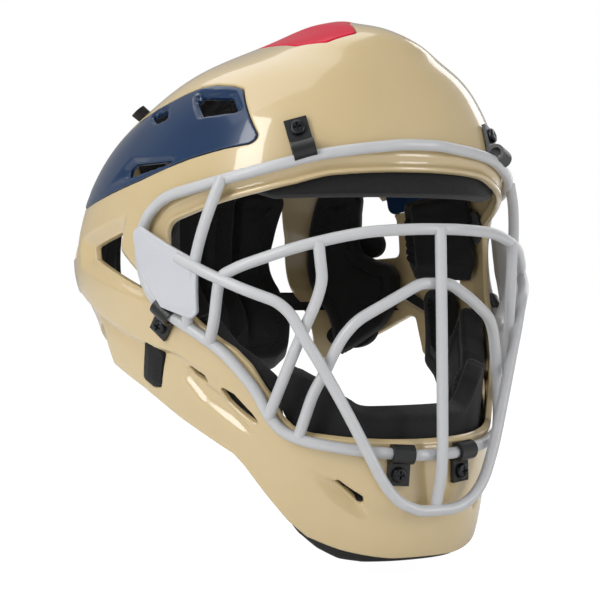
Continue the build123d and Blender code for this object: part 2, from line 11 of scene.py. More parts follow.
import bpy
import numpy as np
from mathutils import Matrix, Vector


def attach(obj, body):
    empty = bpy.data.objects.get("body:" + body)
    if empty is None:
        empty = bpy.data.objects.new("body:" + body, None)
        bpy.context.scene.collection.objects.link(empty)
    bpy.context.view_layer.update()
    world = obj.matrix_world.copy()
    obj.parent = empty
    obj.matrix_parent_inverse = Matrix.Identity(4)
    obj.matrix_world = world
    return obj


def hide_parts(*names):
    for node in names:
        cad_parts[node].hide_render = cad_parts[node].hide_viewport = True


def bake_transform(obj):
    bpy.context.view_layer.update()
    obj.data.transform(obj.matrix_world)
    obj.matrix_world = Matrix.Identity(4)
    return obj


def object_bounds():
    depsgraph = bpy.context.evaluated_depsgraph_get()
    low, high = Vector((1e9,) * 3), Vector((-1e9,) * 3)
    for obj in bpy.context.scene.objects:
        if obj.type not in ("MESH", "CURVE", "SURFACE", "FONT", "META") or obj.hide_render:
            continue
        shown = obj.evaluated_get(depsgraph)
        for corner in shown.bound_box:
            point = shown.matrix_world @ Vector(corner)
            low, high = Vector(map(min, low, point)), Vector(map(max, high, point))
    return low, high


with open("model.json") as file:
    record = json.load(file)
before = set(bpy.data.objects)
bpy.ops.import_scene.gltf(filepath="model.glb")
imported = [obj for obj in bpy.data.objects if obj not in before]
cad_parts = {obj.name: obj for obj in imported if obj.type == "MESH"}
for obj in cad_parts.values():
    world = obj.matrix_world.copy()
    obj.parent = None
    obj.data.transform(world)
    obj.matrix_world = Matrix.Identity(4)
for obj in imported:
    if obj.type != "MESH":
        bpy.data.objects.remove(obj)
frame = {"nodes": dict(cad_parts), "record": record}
cad_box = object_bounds()
scene = bpy.context.scene
print("nodes", len(frame["nodes"]), "box", cad_box)

# %% [markdown]
# The camera comes first, because everything else is judged through it. It stands a little to
# the wearer's right and looks slightly down, at the distance that gives the photograph's
# perspective. Its lens follows from a focal length of 2000 pixels across a 600 pixel picture.

# %% Camera
SENSOR_WIDTH = 36.0
FOCAL_SHARE = 2000 / 600
VIEW_TURN, VIEW_RISE = math.radians(-33), math.radians(1.2)
VIEW_DISTANCE = 1.205
AIM = Vector((0, 0, -0.018))

toward_camera = Vector((
    math.sin(VIEW_TURN) * math.cos(VIEW_RISE),
    -math.cos(VIEW_TURN) * math.cos(VIEW_RISE),
    math.sin(VIEW_RISE),
))
camera_data = bpy.data.cameras.new("camera")
camera_data.sensor_width = SENSOR_WIDTH
camera_data.lens = SENSOR_WIDTH * FOCAL_SHARE
camera = bpy.data.objects.new("camera", camera_data)
camera.location = AIM + VIEW_DISTANCE * toward_camera
camera.rotation_euler = (-toward_camera).to_track_quat("-Z", "Y").to_euler()
scene.collection.objects.link(camera)
scene.camera = camera
scene.view_settings.view_transform = "Standard"
print("camera at", tuple(round(v, 3) for v in camera.location), "lens", camera_data.lens)

# %% [markdown]
# The studio is a pale floor with a white world. Soft area lamps from both sides and above give
# the long soft highlights that a glossy shell shows. The camera sees pure white behind the
# helmet, while the same world lights it only dimly, and the floor keeps a faint shadow.

# %% Studio
def add_node(tree, kind, settings=None, links=None):
    """Adds a node, sets its sockets or attributes, and links its inputs."""
    node = tree.nodes.new(kind)
    for key, value in (settings or {}).items():
        if isinstance(key, int) or key in node.inputs:
            node.inputs[key].default_value = value
        else:
            setattr(node, key, value)
    for key, source in (links or {}).items():
        tree.links.new(source, node.inputs[key])
    return node


def srgb(text):
    """A hex colour turned into the linear values that a shader takes."""
    shares = [int(text[k:k + 2], 16) / 255 for k in (1, 3, 5)]
    return tuple(v / 12.92 if v <= 0.04045 else ((v + 0.055) / 1.055) ** 2.4 for v in shares) + (1.0,)


def fresh_tree(owner):
    """The emptied node tree of a material or world."""
    owner.use_nodes = True
    owner.node_tree.nodes.clear()
    return owner.node_tree


WORLD_LIGHT = 0.36
world = bpy.data.worlds.new("white_studio")
scene.world = world
tree = fresh_tree(world)
rays = add_node(tree, "ShaderNodeLightPath")
seen = add_node(tree, "ShaderNodeMath", {"operation": "MAXIMUM"})
tree.links.new(rays.outputs["Is Camera Ray"], seen.inputs[0])
tree.links.new(rays.outputs["Is Transmission Ray"], seen.inputs[1])
strength = add_node(
    tree, "ShaderNodeMapRange", {"To Min": WORLD_LIGHT, "To Max": 1.0}, {"Value": seen.outputs[0]},
)
light = add_node(
    tree, "ShaderNodeBackground", {"Color": (1, 1, 1, 1)}, {"Strength": strength.outputs[0]},
)
add_node(tree, "ShaderNodeOutputWorld", links={"Surface": light.outputs[0]})

# Each lamp has its name, place, what it points at, two sides in metres and power in watts.
LAMPS = [
    ("key_left", (-1.5, -0.5, 0.7), (0, 0, 0), (0.5, 1.3), 15),
    ("fill_right", (0.9, -1.4, 0.2), (0, 0, 0), (0.35, 1.4), 9),
    ("front_low", (-0.75, -1.3, -0.5), (0, 0, -0.05), (0.9, 0.35), 4),
    ("top", (-0.3, 0.3, 1.5), (0, 0, 0), (2.2, 1.6), 14),
    ("rim_right", (1.3, 0.5, 0.4), (0, 0, 0), (0.4, 1.2), 3),
]
for name, place, aim, size, power in LAMPS:
    lamp = bpy.data.lights.new(name, "AREA")
    lamp.shape = "RECTANGLE"
    lamp.size, lamp.size_y = size
    lamp.energy = power
    holder = bpy.data.objects.new(name, lamp)
    holder.location = place
    holder.rotation_euler = (Vector(aim) - Vector(place)).to_track_quat("-Z", "Y").to_euler()
    scene.collection.objects.link(holder)

FLOOR_GAP, FLOOR_REACH = 0.002, 6
FLOOR_GLOW, FLOOR_GLOW_SHARE = 1.2, 0.8
floor_level = cad_box[0][2] - FLOOR_GAP
floor_corners = [
    (x * FLOOR_REACH, y * FLOOR_REACH, floor_level) for x, y in ((-1, -1), (1, -1), (1, 1), (-1, 1))
]
floor_mesh = bpy.data.meshes.new("floor")
floor_mesh.from_pydata(floor_corners, [], [(0, 1, 2, 3)])
floor = bpy.data.objects.new("floor", floor_mesh)
scene.collection.objects.link(floor)
floor_paint = bpy.data.materials.new("pale_floor")
tree = fresh_tree(floor_paint)
rays = add_node(tree, "ShaderNodeLightPath")
matt = add_node(tree, "ShaderNodeBsdfDiffuse", {"Color": srgb("#F4F4F4")})
white = add_node(tree, "ShaderNodeEmission", {"Strength": FLOOR_GLOW})
share = add_node(
    tree, "ShaderNodeMath", {"operation": "MULTIPLY", 1: FLOOR_GLOW_SHARE},
    {0: rays.outputs["Is Camera Ray"]},
)
mixed = add_node(
    tree, "ShaderNodeMixShader", links={0: share.outputs[0], 1: matt.outputs[0], 2: white.outputs[0]},
)
add_node(tree, "ShaderNodeOutputMaterial", links={"Surface": mixed.outputs[0]})
floor_mesh.materials.append(floor_paint)
print("lamps", len(LAMPS), "floor at", round(floor_level, 4))

# %% [markdown]
# The shell and panels are moulded plastic sprayed with gloss enamel. Enamel shows a deep even
# colour under a clear skin: a sharp bright reflection, a faint orange peel about 3 mm across
# left by the spray, and very slight unevenness of colour. The bump is worked out in metres, so
# it keeps its size on every panel.

# %% Gloss enamel
CLOUD_MM = 45
PEEL_MM, PEEL_DEPTH_MM, PEEL_STRENGTH = 3.0, 0.02, 0.5
CLEAR_IOR = 1.5


def coordinates(tree):
    """The piece's own coordinates, in metres."""
    return add_node(tree, "ShaderNodeTexCoord").outputs["Object"]


def noise(tree, spacing_mm, detail=2.0, roughness=0.5):
    """Noise whose features are about this far apart on the real thing."""
    return add_node(
        tree, "ShaderNodeTexNoise",
        {"Scale": 1000 / spacing_mm, "Detail": detail, "Roughness": roughness},
        {"Vector": coordinates(tree)},
    )


def shades(tree, factor, dark, pale):
    """A colour that wanders between two shades."""
    mix = add_node(tree, "ShaderNodeMix", {"data_type": "RGBA"})
    mix.inputs[6].default_value, mix.inputs[7].default_value = srgb(dark), srgb(pale)
    tree.links.new(factor, mix.inputs[0])
    return mix.outputs[2]


def bumped(tree, height, distance_mm, strength=1.0):
    """A bump of this height, worked out in metres."""
    return add_node(
        tree, "ShaderNodeBump", {"Strength": strength, "Distance": distance_mm / 1000}, {"Height": height},
    ).outputs["Normal"]


def enamel(name, dark, pale, roughness, coat, shine=0.5):
    """A sprayed gloss finish. Coat is how much clear skin it has, shine what lies under that."""
    material = bpy.data.materials.new(name)
    tree = fresh_tree(material)
    colour = shades(tree, noise(tree, CLOUD_MM, 3).outputs["Fac"], dark, pale)
    peel = bumped(tree, noise(tree, PEEL_MM).outputs["Fac"], PEEL_DEPTH_MM, PEEL_STRENGTH)
    surface = add_node(
        tree, "ShaderNodeBsdfPrincipled",
        {
            "Roughness": roughness, "IOR": CLEAR_IOR, "Specular IOR Level": shine,
            "Coat Weight": coat, "Coat Roughness": 0.05, "Coat IOR": CLEAR_IOR,
        },
        {"Base Color": colour, "Normal": peel, "Coat Normal": peel},
    )
    add_node(tree, "ShaderNodeOutputMaterial", links={"Surface": surface.outputs[0]})
    return material


GOLD = enamel("gloss_gold_enamel", "#C6B083", "#CDB88D", roughness=0.32, coat=1.0)
NAVY = enamel("gloss_navy_enamel", "#0C2A4C", "#113256", roughness=0.25, coat=0.5, shine=0.4)
RED = enamel("gloss_red_enamel", "#C60430", "#D00838", roughness=0.3, coat=0.12, shine=0.12)
WHITE = enamel("gloss_white_plastic", "#BDBFC5", "#C6C8CD", roughness=0.35, coat=0.4)
print("enamels", [m.name for m in (GOLD, NAVY, RED, WHITE)])

# %% [markdown]
# The cage is steel wire, welded, then powder coated white. Powder melts into a thick even skin
# with a fine pebbled surface, so its highlights are broad and a little broken. The clips are
# steel strap dipped in black vinyl, and the screws are black oxide steel.

# %% Wire, clips and screws
def coated(name, dark, pale, roughness, grain_mm, grain_depth_mm, metallic=0.0, coat=0.0):
    """A coat or bare metal with a fine grain, a little uneven in colour every 12 mm or so."""
    material = bpy.data.materials.new(name)
    tree = fresh_tree(material)
    colour = shades(tree, noise(tree, 12, 3).outputs["Fac"], dark, pale)
    grain = bumped(tree, noise(tree, grain_mm, 3).outputs["Fac"], grain_depth_mm)
    surface = add_node(
        tree, "ShaderNodeBsdfPrincipled",
        {"Roughness": roughness, "Metallic": metallic, "Coat Weight": coat, "Coat Roughness": 0.15},
        {"Base Color": colour, "Normal": grain},
    )
    add_node(tree, "ShaderNodeOutputMaterial", links={"Surface": surface.outputs[0]})
    return material


POWDER = coated("white_powder_coat", "#B8B9BB", "#C1C2C4", 0.4, 0.7, 0.03, coat=0.25)
VINYL = coated("black_vinyl_dip", "#0E0F11", "#17181A", 0.38, 0.6, 0.05)
OXIDE = coated("black_oxide_steel", "#2A2B2E", "#3A3B3E", 0.32, 0.4, 0.02, metallic=0.85)
STEEL = coated("plain_steel", "#8F9093", "#A8A9AB", 0.35, 0.4, 0.02, metallic=1.0)
print("coats", [m.name for m in (POWDER, VINYL, OXIDE, STEEL)])

# %% [markdown]
# The pads are closed-cell foam under a black brushed knit. Brushed knit is nearly matt, with a
# soft pale sheen at grazing angles and a fine loop pattern. The real loops are about 0.6 mm, too
# fine to show, so they are drawn at 1.1 mm. The elastic of the straps has a grain of 1.6 mm.

# %% Fabrics
def cloth(name, dark, pale, loop_mm, depth_mm, sheen, roughness=0.85):
    """A knit, weave or foam skin: small round bumps, their depth, and a sheen at the edge."""
    material = bpy.data.materials.new(name)
    tree = fresh_tree(material)
    loops = add_node(
        tree, "ShaderNodeTexVoronoi", {"Scale": 1000 / loop_mm}, {"Vector": coordinates(tree)},
    )
    colour = shades(tree, noise(tree, 9, 4, 0.6).outputs["Fac"], dark, pale)
    bump = bumped(tree, loops.outputs["Distance"], depth_mm, 0.8)
    surface = add_node(
        tree, "ShaderNodeBsdfPrincipled",
        {"Roughness": roughness, "Sheen Weight": sheen, "Sheen Roughness": 0.45},
        {"Base Color": colour, "Normal": bump},
    )
    add_node(tree, "ShaderNodeOutputMaterial", links={"Surface": surface.outputs[0]})
    return material


KNIT = cloth("black_brushed_knit", "#08080A", "#0F0F12", 1.1, 0.25, 0.1)
SKIN = cloth("black_coated_foam", "#08080A", "#0F0F11", 1.6, 0.12, 0.04, 0.5)
ELASTIC = cloth("black_woven_elastic", "#09090B", "#101012", 1.6, 0.3, 0.08)
TAPE = cloth("black_hook_and_loop", "#0B0B0C", "#131315", 0.9, 0.4, 0.3)
slot_finish = {
    "shell_gold": GOLD, "panel_navy": NAVY, "panel_red": RED, "wire_white": POWDER,
    "plate_white": WHITE, "clip_black": VINYL, "screw_black": OXIDE, "nut_steel": STEEL,
    "pad_fabric": KNIT, "skirt_black": SKIN, "strap_elastic": ELASTIC, "tape_black": TAPE,
}
for entry in frame["record"]["subparts"]:
    node = frame["nodes"][entry["node"]]
    node.data.materials.clear()
    node.data.materials.append(slot_finish[entry["material_slot"]])
print("finishes", len(slot_finish), "on", len(frame["nodes"]), "nodes")

# %% [markdown]
# The shell has no flat face anywhere, so it can't be pushed out of a cube. It could be sculpted,
# but the same form also carries the panels, the pads and the skirt. So it is written as levels:
# each is a rounded outline with its own half width, middle, front, rear and roundness, and a
# smooth curve runs through all of them. A dense net of points is laid over that form once.

# %% Form of the shell
HALF_WIDTH, FRONT_REACH, CROWN_HEIGHT = 123.0, 131.0, 144.5
SHRINK = np.array([HALF_WIDTH, FRONT_REACH, CROWN_HEIGHT])
LEVELS = np.array([
    (-178, 62, -12, -112, 72, 2.3, 1.95),
    (-160, 72, -6, -125, 80, 2.35, 1.95),
    (-130, 86, 4, -130, 89, 2.3, 1.95),
    (-100, 98, 14, -131, 95, 2.2, 1.9),
    (-66, 111, 21, -129, 101, 2.1, 1.85),
    (-30, 119, 25, -128, 110, 2.1, 1.9),
    (-14, 121.5, 25.5, -128, 124, 2.1, 2.25),
    (5, 123, 26, -128, 128, 2.1, 2.4),
    (40, 119, 17, -125, 124, 2.2, 2.3),
    (70, 110, 4, -118, 106, 2.3, 2.2),
    (95, 96, -11, -109, 66, 2.3, 2.1),
    (113, 77, -21, -101, 34, 2.3, 2.0),
    (122, 60, -28, -96, 20, 2.3, 2.0),
    (130, 42, -35, -92, 5, 2.4, 2.0),
    (138, 24, -36, -79, -7, 2.2, 2.0),
    (143, 12, -40, -56, -31, 2.0, 2.0),
    (144.5, 5, -41, -49, -35, 2.0, 2.0),
])


def level_points(level, turns):
    """Points of one level, or of many levels at once, at these turns round the head."""
    z, wide, middle, front, rear, front_power, rear_power = level
    side, fore = np.cos(turns), np.sin(turns)
    power = np.where(fore < 0, front_power, rear_power)
    reach = np.where(fore < 0, middle - front, rear - middle)
    size = (np.abs(side) ** power + np.abs(fore) ** power) ** (-1 / power)
    return np.stack([wide * size * side, middle + reach * size * fore, z + 0 * side], axis=-1)


def curve_through(knots, values, at):
    """A natural cubic curve through the values, read at other places."""
    steps = np.diff(knots)
    count = len(knots)
    system = np.eye(count)
    bends = np.zeros_like(values)
    for k in range(1, count - 1):
        system[k, k - 1:k + 2] = steps[k - 1], 2 * (steps[k - 1] + steps[k]), steps[k]
        slope_after = (values[k + 1] - values[k]) / steps[k]
        bends[k] = 6 * (slope_after - (values[k] - values[k - 1]) / steps[k - 1])
    bends = np.linalg.solve(system, bends)
    span = np.clip(np.searchsorted(knots, at) - 1, 0, count - 2)
    step = steps[span][:, None]
    b = ((at - knots[span]) / steps[span])[:, None]
    a = 1 - b
    wave = ((a ** 3 - a) * bends[span] + (b ** 3 - b) * bends[span + 1]) * step ** 2 / 6
    return a * values[span] + b * values[span + 1] + wave


CORNER_TURNS = np.linspace(0, 2 * math.pi, 24, endpoint=False)
corners = np.stack([level_points(level, CORNER_TURNS) for level in LEVELS])
level_gaps = np.sqrt((np.diff(corners, axis=0) ** 2).sum(axis=2)).mean(axis=1)
level_knots = np.concatenate([[0], np.cumsum(level_gaps)])


def form_net(rows, columns):
    """A net of points over the outer form: rows from the chin up, columns round the head."""
    at = np.linspace(0, level_knots[-1], rows)
    levels = curve_through(level_knots, LEVELS, at)
    turns = math.pi / 2 + np.linspace(0, 2 * math.pi, columns, endpoint=False)
    return level_points([column[:, None] for column in levels.T], turns[None, :])


ROWS, COLUMNS = ((290, 560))
net = form_net(ROWS, COLUMNS)
print("net", net.shape, "spacing up", round(level_knots[-1] / ROWS, 2), "mm")

# %% [markdown]
# Every opening, panel and pad is drawn as a flat outline seen from the side, the rear or above.
# For each point of the net, its distance inside such an outline says whether it stays, and how
# far it lies from the cut edge. Triangles that the edge crosses are cut exactly there, so an
# edge stays clean however coarse the net is.

# %% Outlines and distances
CORNER = 4.0
WIDE_CORNER, PAD_CORNER = 3 * CORNER, 2 * CORNER
SLOT_CORNER, STRAP_SLOT_CORNER, SLIT_CORNER = 2.0, 1.5, 1.0
FAR = 25.0
CROWN_LEVEL = 60


def rounded(points, limit=CORNER, steps=5):
    """A closed outline whose corners are arcs as large as the runs beside them allow."""
    points = [np.array(point, float) for point in points]
    line = []
    for k, point in enumerate(points):
        before, after = points[k - 1] - point, points[(k + 1) % len(points)] - point
        runs = np.hypot(*before), np.hypot(*after)
        before, after = before / runs[0], after / runs[1]
        half = math.acos(np.clip(before @ after, -0.99999, 0.99999)) / 2
        radius = min(limit, 0.45 * min(runs) * math.tan(half))
        reach = radius / math.tan(half)
        bisector = before + after
        centre = point + bisector / np.hypot(*bisector) * radius / math.sin(half)
        first, last = point + before * reach - centre, point + after * reach - centre
        for share in np.linspace(0, 1, steps):
            spoke = first * (1 - share) + last * share
            line.append(centre + spoke / np.hypot(*spoke) * radius)
    return np.array(line)


def inside(flat, outline):
    """Distance inside a closed outline, negative outside it."""
    low, high = outline.min(axis=0) - FAR, outline.max(axis=0) + FAR
    near = ((flat > low) & (flat < high)).all(axis=1)
    x, y = flat[near].T
    best = np.full(len(x), FAR ** 2)
    within = np.zeros(len(x), bool)
    for (ax, ay), (bx, by) in zip(outline, np.roll(outline, -1, axis=0)):
        ex, ey = bx - ax, by - ay
        share = np.clip(((x - ax) * ex + (y - ay) * ey) / (ex * ex + ey * ey + 1e-12), 0, 1)
        best = np.minimum(best, (x - ax - share * ex) ** 2 + (y - ay - share * ey) ** 2)
        within ^= ((ay > y) != (by > y)) & (x < ax + ex * (y - ay) / (ey if ey else 1e-12))
    result = np.full(len(flat), -FAR)
    result[near] = np.where(within, np.sqrt(best), -np.sqrt(best))
    return result


def side_inside(points, outline, side=0):
    """Seen from the side. Side -1 is the wearer's right half alone, 1 the left, 0 both."""
    found = inside(points[:, 1:], outline)
    return found if side == 0 else np.where(points[:, 0] * side > 0, found, -FAR)


def rear_inside(points, outline):
    """Seen from behind, the same on both sides of the middle."""
    flat = np.stack([np.abs(points[:, 0]), points[:, 2]], axis=1)
    return np.where(points[:, 1] > 0, inside(flat, outline), -FAR)


def top_inside(points, outline):
    """Seen from above, on the crown alone."""
    return np.where(points[:, 2] > CROWN_LEVEL, inside(points[:, :2], outline), -FAR)


def ramp(value, start, end):
    """A smooth step from 0 to 1."""
    share = np.clip((value - start) / (end - start), 0, 1)
    return share * share * (3 - 2 * share)


POINTS = net.reshape(-1, 3)
side_way = np.abs(POINTS[:, 0])
print("half width of the net", round(float(side_way.max()), 1), "mm")

# %% [markdown]
# A moulded wall has a skin outside, a skin inside and a rounded rim. The builder below cuts the
# net at the rim, lays the two skins at their depths, and joins them with a strip whose section
# is the rim's rounding. Depth is measured inward, as a share of the head's own size, so all the
# layers from the paint to the pads nest without touching.

# %% Wall builder
LEAST_SLOPE = 0.2
CUT_MARGIN = 3.0


def at_depth(points, depth):
    """The points moved inward by this depth."""
    return points * (1 - np.asarray(depth).reshape(-1, 1) / SHRINK)


def net_triangles(rows, columns):
    """Two triangles for each cell of the net, which closes round the head."""
    row, column = np.meshgrid(np.arange(rows - 1), np.arange(columns), indexing="ij")
    a, b = row * columns + column, row * columns + (column + 1) % columns
    c, d = b + columns, a + columns
    return np.concatenate([np.stack([a, b, c], -1).reshape(-1, 3), np.stack([a, c, d], -1).reshape(-1, 3)])


TRIANGLES = net_triangles(ROWS, COLUMNS)


def slope_on_net(field):
    """How fast a field changes along the surface, as a vector in space at each point."""
    rows, columns, _ = net.shape
    field = field.reshape(rows, columns)
    across = np.roll(net, -1, axis=1) - np.roll(net, 1, axis=1)
    change_across = np.roll(field, -1, axis=1) - np.roll(field, 1, axis=1)
    upward, change_up = np.gradient(net, axis=0) * 2, np.gradient(field, axis=0) * 2
    e, g = (across ** 2).sum(-1), (upward ** 2).sum(-1)
    f = (across * upward).sum(-1)
    whole = np.maximum(e * g - f * f, 1e-9)
    p = (g * change_across - f * change_up) / whole
    q = (e * change_up - f * change_across) / whole
    return (p[..., None] * across + q[..., None] * upward).reshape(-1, 3)


def true_distance(keep, slope):
    """A distance seen flat turned into distance along the surface."""
    return keep / np.clip(np.linalg.norm(slope, axis=1), LEAST_SLOPE, None)


def cut_net(keep, level):
    """Cuts the net near keep where level is 0. A corner is (a, b, share of the way from a to b)."""
    triangles = TRIANGLES[(keep[TRIANGLES] > -CUT_MARGIN).any(axis=1)]
    inside_now = level[triangles] > 0
    count = inside_now.sum(axis=1)
    whole = triangles[count == 3]
    one, two = triangles[count == 1], triangles[count == 2]
    turn = np.argmax(inside_now[count == 1], axis=1)[:, None]
    one = np.take_along_axis(one, (turn + np.arange(3)) % 3, axis=1)
    turn = np.argmin(inside_now[count == 2], axis=1)[:, None]
    two = np.take_along_axis(two, (turn + np.arange(3)) % 3, axis=1)
    pairs = np.concatenate([one[:, [0, 1]], one[:, [0, 2]], two[:, [0, 1]], two[:, [0, 2]]])
    unique, place = np.unique(np.sort(pairs, axis=1), axis=0, return_inverse=True)
    place = place.reshape(-1) + len(level)
    n, m = len(one), len(two)
    p, q, r, s = place[:n], place[n:2 * n], place[2 * n:2 * n + m], place[2 * n + m:]
    faces = np.concatenate([
        whole,
        np.stack([one[:, 0], p, q], -1),
        np.stack([r, two[:, 1], two[:, 2]], -1),
        np.stack([r, two[:, 2], s], -1),
    ])
    a = np.concatenate([np.arange(len(level)), unique[:, 0]])
    b = np.concatenate([np.arange(len(level)), unique[:, 1]])
    gap = level[a] - level[b]
    share = np.where(gap == 0, 0.0, level[a] / np.where(gap == 0, 1, gap))
    used = np.unique(faces)
    renumber = np.zeros(len(a), int)
    renumber[used] = np.arange(len(used))
    return renumber[faces], (a[used], b[used], share[used][:, None])


def read_at(values, corners):
    """Values of the net read at the corners of a cut part of it."""
    a, b, share = corners
    values = np.broadcast_to(values, len(POINTS)).reshape(-1, 1) if np.ndim(values) < 2 else values
    return values[a] * (1 - share) + values[b] * share


def open_edges(faces, count):
    """The edges that one triangle alone uses, in that triangle's direction."""
    edges = np.concatenate([faces[:, [0, 1]], faces[:, [1, 2]], faces[:, [2, 0]]])
    codes, reverse = edges[:, 0] * count + edges[:, 1], edges[:, 1] * count + edges[:, 0]
    return edges[~np.isin(codes, reverse)]


def rim_section(thick, outer_round, inner_round, steps=4):
    """The rim seen in section, from the outer skin to the inner: (how far out, how deep)."""
    reach = max(outer_round, inner_round)
    line = []
    for angle in np.linspace(0, math.pi / 2, steps + 1):
        out, deep = 1 - math.sin(angle), 1 - math.cos(angle)
        line.append((reach - outer_round * out, outer_round * deep))
    for angle in np.linspace(math.pi / 2, math.pi, steps + 1):
        out, deep = 1 - math.sin(angle), 1 + math.cos(angle)
        line.append((reach - inner_round * out, thick - inner_round * deep))
    return [point for k, point in enumerate(line) if k == 0 or point != line[k - 1]]


def wall_mesh(name, keep, depth, thick, outer_round=1.2, inner_round=0.8, lean=0.0):
    """A wall over the part of the net where keep is above 0. Lean slides its inner skin rearward."""
    slope = slope_on_net(keep)
    reach = max(outer_round, inner_round)
    faces, cut = cut_net(keep, true_distance(keep, slope) - reach)
    skin, depth, thick = read_at(POINTS, cut), read_at(depth, cut), read_at(thick, cut)
    outer, inner = at_depth(skin, depth), at_depth(skin, depth + thick) + [0.0, lean, 0.0]
    count = len(outer)
    rim = open_edges(faces, count)
    ring = np.unique(rim)
    local = np.zeros(count, int)
    local[ring] = np.arange(len(ring))
    outward = -read_at(slope, cut)[ring]
    inward = inner[ring] - outer[ring]
    inward /= np.linalg.norm(inward, axis=1)[:, None]
    outward -= inward * (outward * inward).sum(axis=1)[:, None]
    outward /= np.maximum(np.linalg.norm(outward, axis=1), 1e-6)[:, None]
    lengths = np.linalg.norm(inner[ring] - outer[ring], axis=1)[:, None]
    total = float(np.median(lengths))
    section = rim_section(total, outer_round, inner_round)[1:-1]
    layers = [outer[ring] + outward * out + inward * lengths * (deep / total) for out, deep in section]
    added = [2 * count + k * len(ring) + local[ring] for k in range(len(layers))]
    numbers = [ring] + added + [ring + count]
    start, end = local[rim[:, 0]], local[rim[:, 1]]
    polygons = faces.tolist() + (faces + count)[:, ::-1].tolist()
    for upper, lower in zip(numbers, numbers[1:]):
        polygons += np.stack([upper[end], upper[start], lower[start], lower[end]], -1).tolist()
    return smooth_mesh(name, np.concatenate([outer, inner] + layers), polygons)


def smooth_mesh(name, corners, polygons):
    """A smooth-shaded mesh from corners in millimetres."""
    mesh = bpy.data.meshes.new(name)
    mesh.from_pydata((np.array(corners) * 0.001).tolist(), [], polygons)
    mesh.polygons.foreach_set("use_smooth", [True] * len(mesh.polygons))
    mesh.update()
    return mesh


def add_piece(mesh, body, nodes, material):
    """Puts a mesh in the scene as a named piece that stands for these nodes."""
    piece = bpy.data.objects.new(mesh.name, mesh)
    scene.collection.objects.link(piece)
    mesh.materials.append(material)
    if body:
        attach(piece, body)
    if nodes:
        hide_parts(*nodes)
    size = [round(v * 1000) for v in piece.dimensions]
    print(mesh.name, len(mesh.polygons), "faces", size, "mm")
    return piece


print("wall builder ready for", len(TRIANGLES), "triangles")

# %% [markdown]
# The shell is moulded plastic under a gloss enamel. It has a big opening for the face, a lower
# edge that sweeps from the nape to the chin, an opening at the rear for the sliding plate, and
# vents. The wall turns inward round the ear vent, along the crease above the jaw, and round the
# cheek slits, and these turns are depths added to both skins.

# %% Outlines of the shell, in millimetres
FACE_OPENING = [
    (-170, 57), (-126, 57), (-111.5, 53.5), (-102.4, 48.8), (-88.5, 44), (-70.5, 38.6), (-55.9, 33.2),
    (-38.5, 27), (-39, 13.6), (-41, 0), (-46, -16), (-52.4, -25.2), (-60.8, -32.8), (-67.8, -38.2),
    (-74.5, -42.8), (-82, -52.1), (-86.6, -62.3), (-90, -69), (-94, -80), (-99.8, -87.5),
    (-106, -89.6), (-119, -92), (-132, -94), (-170, -94),
]
LOWER_EDGE = [
    (170, -72), (104, -72), (94, -70), (75, -56), (60, -44), (48, -35), (42, -31.5), (36, -32),
    (31, -43.5), (25, -55), (-5.4, -68.7), (-30, -84), (-63.4, -101.7), (-69, -108), (-78.6, -123),
    (-88.6, -137.6), (-96.7, -146), (-109.7, -152.5), (-123.4, -157.8), (-170, -160), (-170, -280),
    (170, -280),
]
REAR_OPENING = [
    (66, -230), (66, -20), (64, 20), (58, 46), (46, 60), (30, 66), (-10, 66), (-10, -230),
]
EAR_VENT = [(43, 14), (8, 23), (9, 12), (-12, -3), (-18, -12.5), (41, 7)]
EAR_RECESS = [(52, 19), (-4, 33), (0, 13), (-19, -2), (-30, -19), (50, 1)]
REAR_VENT = [(88, 46), (66, 50), (58, 34), (60, 8), (84, 6), (92, 18)]
JAW_SLOT = [(-13, -40), (-25, -45), (-27, -48), (-20, -66.5), (-13, -66.8), (-5, -61.8)]
JAW_SLIT_REAR = [(-43, -52), (-54.5, -58.5), (-57, -64), (-47.5, -60)]
JAW_SLIT_FRONT = [(-63, -63.5), (-71, -68), (-79, -78), (-84, -86), (-67, -73)]
CHEEK_CHANNEL = [
    (-36, -49), (-42, -52), (-66, -68), (-80, -88), (-81, -93), (-72, -89), (-50, -74), (-40, -62),
]
CHIN_VENT = [(-112.9, -114.9), (-114.1, -113.4), (-121.4, -123), (-121.6, -131)]
CHIN_RECESS = [(-101.9, -106.8), (-107, -108.5), (-120.7, -121.5), (-123.5, -139), (-110, -124)]
STRAP_SLOT = [(26, 90), (36, 87), (38, 91), (28, 94)]
SIDE_PANEL = [
    (64, 35), (32, 41.7), (-11, 51.4), (-49.4, 62.5), (-69.5, 67.4), (-86.8, 70.8), (-66, 101),
    (-58.5, 103), (-46, 104.3), (-34, 103.6), (-22.9, 100.7), (-2.4, 94), (20.5, 87), (42, 76),
    (60, 58),
]
CREST_PANEL = [
    (0, -50), (16, -84), (34, -80), (45, -66), (46, -30), (40, 0), (28, 25), (0, 40),
    (-28, 25), (-40, 0), (-46, -30), (-45, -66), (-34, -80), (-16, -84),
]
BELOW_CREASE = [
    (60, -13), (38, -22), (-12, -40), (-38, -45), (-62, -57), (-80, -74), (-100, -100),
    (-100, -220), (140, -220), (140, -13),
]

SIDE_CUTS = (
    (FACE_OPENING, WIDE_CORNER), (LOWER_EDGE, CORNER), (EAR_VENT, SLIT_CORNER), (REAR_VENT, CORNER),
    (JAW_SLOT, SLOT_CORNER), (JAW_SLIT_REAR, SLIT_CORNER), (JAW_SLIT_FRONT, SLIT_CORNER),
    (CHIN_VENT, SLIT_CORNER), (STRAP_SLOT, STRAP_SLOT_CORNER), (SIDE_PANEL, CORNER),
)
outside_cuts = [-side_inside(POINTS, rounded(outline, corner)) for outline, corner in SIDE_CUTS]
outside_cuts.append(-rear_inside(POINTS, rounded(REAR_OPENING, WIDE_CORNER)))
outside_cuts.append(-top_inside(POINTS, rounded(CREST_PANEL)))
shell_keep = np.min(outside_cuts, axis=0)
print("shell keeps", int((shell_keep > 0).sum()), "of", len(POINTS), "points")

